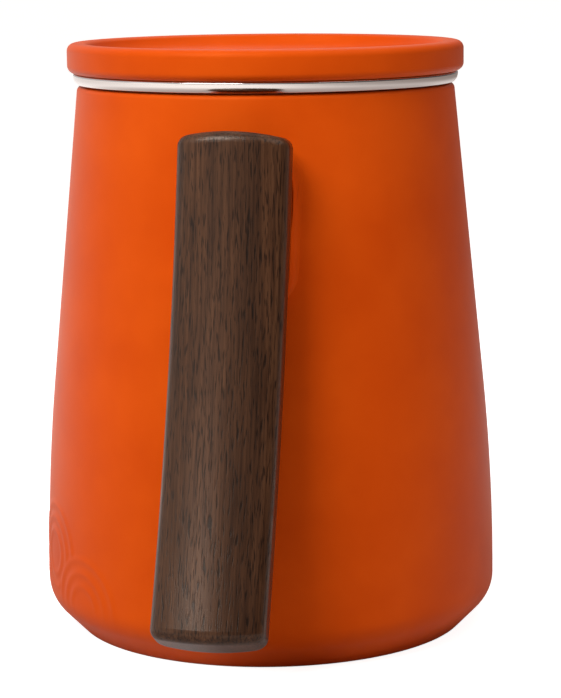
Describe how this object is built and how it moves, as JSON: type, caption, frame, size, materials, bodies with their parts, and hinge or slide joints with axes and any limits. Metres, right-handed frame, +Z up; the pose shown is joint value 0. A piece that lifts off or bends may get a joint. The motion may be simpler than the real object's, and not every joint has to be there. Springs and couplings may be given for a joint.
{
  "type": "lidded tea mug with infuser",
  "caption": "Tapered ceramic mug with a dished lift-off lid, a steel infuser basket whose rim shows between them, and a walnut bar handle with a free lower end.",
  "frame": {"origin": "centre of the mug's foot, in the plane that it rests on", "axes": "+Z up the mug's axis, +X from the axis towards the handle"},
  "size_m": [0.1288, 0.096, 0.1238],
  "materials": {
    "glaze": "satin orange glaze",
    "walnut": "oiled dark walnut",
    "epoxy": "cured epoxy",
    "polished_steel": "polished stainless steel",
    "basket_steel": "satin stainless steel",
    "silicone": "translucent silicone"
  },
  "bodies": {
    "mug": {"mug_body": "glaze", "handle_grip": "walnut", "handle_bond": "epoxy"},
    "infuser": {"infuser_rim": "polished_steel", "infuser_wall": "basket_steel", "infuser_base": "basket_steel"},
    "lid": {"lid": "glaze", "lid_seal": "silicone"}
  },
  "joints": [
    {"name": "infuser_lift", "type": "slide", "parent": "mug", "child": "infuser", "axis": [0, 0, 1], "range_m": [0, 0.09]},
    {"name": "lid_lift", "type": "slide", "parent": "infuser", "child": "lid", "axis": [0, 0, 1], "range_m": [0, 0.06]}
  ]
}
